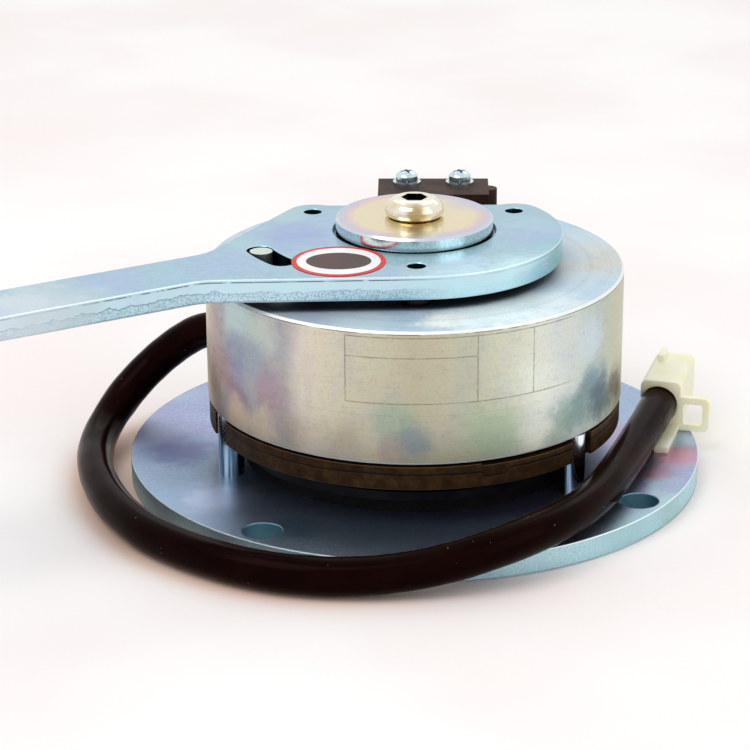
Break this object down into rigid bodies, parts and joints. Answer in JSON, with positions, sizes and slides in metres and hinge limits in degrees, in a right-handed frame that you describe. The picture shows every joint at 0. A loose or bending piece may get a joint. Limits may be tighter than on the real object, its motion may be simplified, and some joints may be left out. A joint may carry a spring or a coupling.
{
  "type": "motor brake",
  "caption": "Spring-applied electromagnetic brake for a motor shaft, with a round mounting flange, a hand release lever, a release switch and a short cable with a plug.",
  "frame": {"origin": "shaft axis at the underside of the mounting flange", "axes": "+Z along the shaft axis from the flange to the release lever, -Y towards the camera of the picture"},
  "size_m": [0.1521, 0.1119, 0.0494],
  "materials": {
    "blue_zinc": "blue bright zinc plate on pressed steel",
    "straw_zinc": "pale straw zinc plate on turned steel",
    "gold_zinc": "yellow zinc plate on turned steel",
    "clear_zinc": "clear zinc plate on small screws and washers",
    "polished_steel": "ground and polished steel",
    "plain_steel": "bare steel",
    "black_steel": "black oxide steel",
    "oxide_steel": "stamped steel with a thin brown oxide",
    "friction_lining": "pressed friction material",
    "bobbin_nylon": "moulded nylon",
    "copper_wire": "enamelled copper winding",
    "lead_insulation": "lead insulation",
    "switch_plastic": "moulded black switch case",
    "plunger_plastic": "moulded plunger",
    "terminal_brass": "stamped brass",
    "grommet_rubber": "moulded rubber",
    "sleeve_vinyl": "glossy vinyl sleeve",
    "connector_nylon": "natural nylon moulding"
  },
  "bodies": {
    "brake_body": {"mounting_flange": "blue_zinc", "spacer_post_1": "polished_steel", "spacer_post_2": "polished_steel", "spacer_post_3": "polished_steel", "post_screws": "black_steel", "magnet_body": "straw_zinc", "coil_bobbin": "bobbin_nylon", "coil_winding": "copper_wire", "coil_leads": "lead_insulation", "torque_spring_1": "plain_steel", "torque_spring_2": "plain_steel", "torque_spring_3": "plain_steel", "torque_spring_4": "plain_steel", "torque_spring_5": "plain_steel", "torque_spring_6": "plain_steel", "stop_pin": "polished_steel", "switch_case": "switch_plastic", "switch_cover": "switch_plastic", "switch_terminals": "terminal_brass", "switch_screws": "clear_zinc", "switch_spring_washers": "plain_steel", "switch_washers": "clear_zinc", "cable_grommet": "grommet_rubber", "cable_sleeve": "sleeve_vinyl", "connector_housing": "connector_nylon", "connector_contacts": "terminal_brass"},
    "hub": {"drive_hub": "plain_steel"},
    "friction_disc": {"friction_carrier": "plain_steel", "lining_lower": "friction_lining", "lining_upper": "friction_lining"},
    "armature": {"armature_plate": "oxide_steel", "pull_bolt": "gold_zinc", "pull_disc": "gold_zinc"},
    "lever": {"release_lever": "blue_zinc", "release_ball_1": "polished_steel", "release_ball_2": "polished_steel", "release_ball_3": "polished_steel"},
    "plunger": {"switch_plunger": "plunger_plastic"}
  },
  "joints": [
    {"name": "shaft_turn", "type": "hinge", "parent": "brake_body", "child": "hub", "pos_m": [0, 0, 0], "axis": [0, 0, 1], "continuous": true},
    {"name": "disc_float", "type": "slide", "parent": "hub", "child": "friction_disc", "axis": [0, 0, 1], "range_m": [0, 0.0002]},
    {"name": "armature_lift", "type": "slide", "parent": "brake_body", "child": "armature", "axis": [0, 0, 1], "range_m": [0, 0.0004], "deforming": ["torque_spring_1", "torque_spring_2", "torque_spring_3", "torque_spring_4", "torque_spring_5", "torque_spring_6"]},
    {"name": "lever_turn", "type": "hinge", "parent": "armature", "child": "lever", "pos_m": [0, 0, 0], "axis": [0, 0, 1], "range_deg": [-12.5, 0], "stiffness_Nm_per_rad": 0.5, "springref_deg": 114.59},
    {"name": "plunger_travel", "type": "slide", "parent": "brake_body", "child": "plunger", "axis": [0, 1, 0], "range_m": [0, 0.00085]}
  ],
  "couplings": [
    {"joint": "armature_lift", "follows": "lever_turn", "m_per_rad": -0.001833},
    {"joint": "disc_float", "follows": "lever_turn", "m_per_rad": -0.0009165},
    {"joint": "plunger_travel", "follows": "lever_turn", "m_per_rad": -0.003895}
  ]
}
